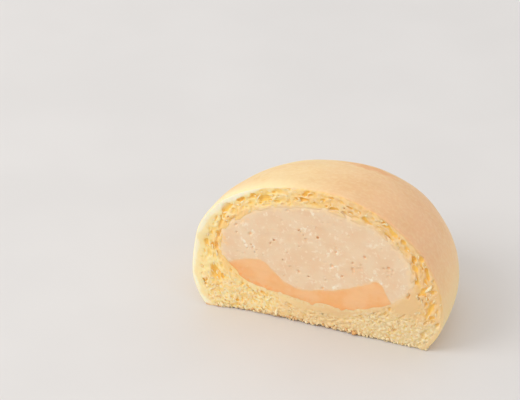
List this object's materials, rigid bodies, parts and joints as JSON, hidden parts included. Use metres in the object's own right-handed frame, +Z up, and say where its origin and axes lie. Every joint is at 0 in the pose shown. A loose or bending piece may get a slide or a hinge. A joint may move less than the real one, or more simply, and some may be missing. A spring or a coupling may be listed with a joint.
{
  "type": "custard cream bun",
  "caption": "Half of a soft baked bun, cut open to show open crumb round whipped cream on a layer of custard; it rests on its flat base.",
  "frame": {"origin": "centre of the footprint's box, on the surface that the bun rests on", "axes": "+Z up; the cut face looks towards -Y; +X along the cut face, to its right as one looks at it"},
  "size_m": [0.08, 0.05, 0.0465],
  "materials": {
    "bread": "soft matte baked skin and open crumb",
    "whipped_cream": "moist, aerated",
    "custard": "smooth and moist"
  },
  "bodies": {
    "root": {"bread": "bread", "whipped_cream": "whipped_cream", "custard": "custard"}
  },
  "joints": []
}
